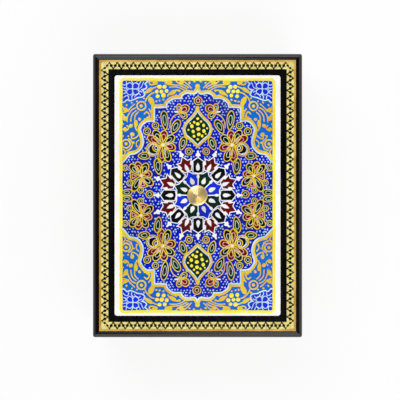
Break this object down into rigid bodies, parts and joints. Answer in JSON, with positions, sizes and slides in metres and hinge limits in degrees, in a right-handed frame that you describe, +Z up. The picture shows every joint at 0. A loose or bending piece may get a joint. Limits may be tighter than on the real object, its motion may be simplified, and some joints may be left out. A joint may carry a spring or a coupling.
{
  "type": "inlaid jewelry box",
  "caption": "Rectangular wooden jewelry box with a hinged lid, a triangle marquetry border, a domed enamel plate with a turned brass knob, and a velvet lining.",
  "frame": {"origin": "centre of the footprint, on the surface the felt base rests on", "axes": "+X along the long side, towards the box's right; +Y towards the hinges at the back, so the front is -Y; +Z up"},
  "size_m": [0.218, 0.161, 0.0885],
  "materials": {
    "bare_wood": "planed, unfinished",
    "bone_inlay": "bone or pale wood, lacquered over",
    "brass": "turned and polished",
    "brass_inlay": "flush, lacquered over",
    "ebony_inlay": "lacquered over",
    "enamel": "glossy enamel painted in many colours",
    "felt": "green felt",
    "lacquered_wood": "black lacquer, satin to gloss",
    "steel": "plain",
    "velvet": "deep red pile"
  },
  "bodies": {
    "case": {"bottom_board": "bare_wood", "felt_base": "felt", "floor_pad": "velvet", "hinge_fixed_leaf_left": "brass", "hinge_fixed_leaf_right": "brass", "hinge_pin_left": "steel", "hinge_pin_right": "steel", "lining_back": "velvet", "lining_front": "velvet", "lining_left": "velvet", "lining_right": "velvet", "side_filets_back": "brass_inlay", "side_filets_front": "brass_inlay", "side_filets_left": "brass_inlay", "side_filets_right": "brass_inlay", "side_marquetry_back": "bone_inlay", "side_marquetry_front": "bone_inlay", "side_marquetry_left": "bone_inlay", "side_marquetry_right": "bone_inlay", "wall_back": "lacquered_wood", "wall_front": "lacquered_wood", "wall_left": "lacquered_wood", "wall_right": "lacquered_wood"},
    "lid": {"enamel_plate": "enamel", "filet_back": "brass_inlay", "filet_front": "brass_inlay", "filet_left": "brass_inlay", "filet_right": "brass_inlay", "hinge_moving_leaf_left": "brass", "hinge_moving_leaf_right": "brass", "knob": "brass", "knob_collar": "brass", "knob_screw": "steel", "knob_washer": "steel", "lid_board": "lacquered_wood", "lid_pad": "velvet", "lid_rail_back": "lacquered_wood", "lid_rail_front": "lacquered_wood", "lid_rail_left": "lacquered_wood", "lid_rail_right": "lacquered_wood", "marquetry_back": "bone_inlay", "marquetry_dark_back": "ebony_inlay", "marquetry_dark_front": "ebony_inlay", "marquetry_dark_left": "ebony_inlay", "marquetry_dark_right": "ebony_inlay", "marquetry_front": "bone_inlay", "marquetry_left": "bone_inlay", "marquetry_right": "bone_inlay", "plate_bed": "bare_wood"}
  },
  "joints": [
    {"name": "lid_hinge", "type": "hinge", "parent": "case", "child": "lid", "pos_m": [0, 0.077, 0.05115], "axis": [-1, 0, 0], "range_deg": [0, 100]}
  ]
}
